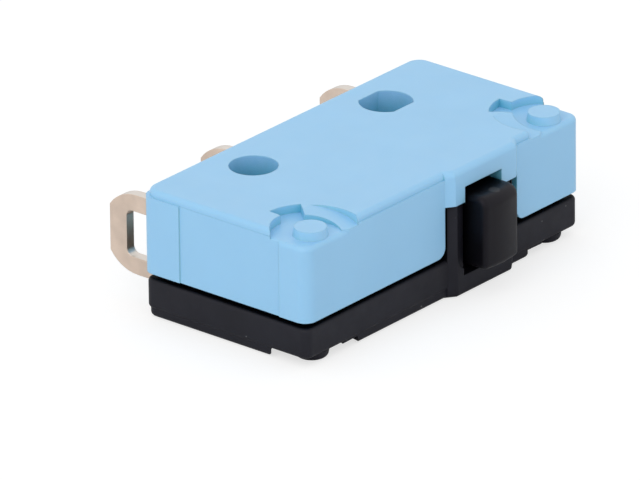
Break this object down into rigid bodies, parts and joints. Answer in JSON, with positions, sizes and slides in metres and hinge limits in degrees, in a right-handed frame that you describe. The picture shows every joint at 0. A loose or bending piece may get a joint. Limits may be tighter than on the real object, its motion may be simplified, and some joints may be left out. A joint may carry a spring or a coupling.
{
  "type": "micro switch",
  "caption": "Subminiature snap-action micro switch with a pin plunger, two through mounting holes and three solder lug terminals.",
  "frame": {"origin": "on the underside, half-way between the axes of the two mounting holes", "axes": "+X along the body towards the normally closed terminal, +Y the way the plunger stands out, +Z from the black base through the blue cover, along the mounting holes"},
  "size_m": [0.0198, 0.0148, 0.0064],
  "materials": {
    "cover_plastic": "light blue moulded thermoplastic, satin",
    "base_plastic": "black moulded thermoplastic, fine matt",
    "plunger_plastic": "black moulded plastic, smooth satin",
    "terminal_metal": "plated brass sheet, satin, warm silver",
    "contact_silver": "silver contact alloy, satin",
    "contact_lever_metal": "bare copper alloy sheet, satin",
    "spring_steel": "bright spring steel"
  },
  "bodies": {
    "housing": {"base": "base_plastic", "cover": "cover_plastic", "common_terminal": "terminal_metal", "normally_open_terminal": "terminal_metal", "normally_closed_terminal": "terminal_metal", "normally_open_contact": "contact_silver", "normally_closed_contact": "contact_silver"},
    "plunger_body": {"plunger": "plunger_plastic"},
    "operating_lever_body": {"operating_lever": "spring_steel"},
    "contact_lever_body": {"contact_lever": "contact_lever_metal", "moving_contact": "contact_silver"},
    "spring_body": {"tension_spring": "spring_steel"}
  },
  "joints": [
    {"name": "plunger_slide", "type": "slide", "parent": "housing", "child": "plunger_body", "axis": [0, -1, 0], "range_m": [0, 0.0011], "stiffness_N_per_m": 900, "springref_m": -0.0006},
    {"name": "operating_lever_hinge", "type": "hinge", "parent": "housing", "child": "operating_lever_body", "pos_m": [-0.0081, 0.00475, 0.0032], "axis": [0, 0, 1], "range_deg": [-10.88, 0]},
    {"name": "contact_lever_hinge", "type": "hinge", "parent": "housing", "child": "contact_lever_body", "pos_m": [-0.0044, 0.00352, 0.0032], "axis": [0, 0, 1], "range_deg": [-2.42, 0]},
    {"name": "tension_spring_hinge", "type": "hinge", "parent": "contact_lever_body", "child": "spring_body", "pos_m": [0.0045, 0.00395, 0.0032], "axis": [0, 0, 1], "range_deg": [0, 12.5]}
  ],
  "couplings": [
    {"joint": "operating_lever_hinge", "follows": "plunger_slide", "rad_per_m": -172.42},
    {"joint": "contact_lever_hinge", "follows": "plunger_slide", "rad_per_m": -38.149},
    {"joint": "tension_spring_hinge", "follows": "plunger_slide", "rad_per_m": 198.12}
  ]
}
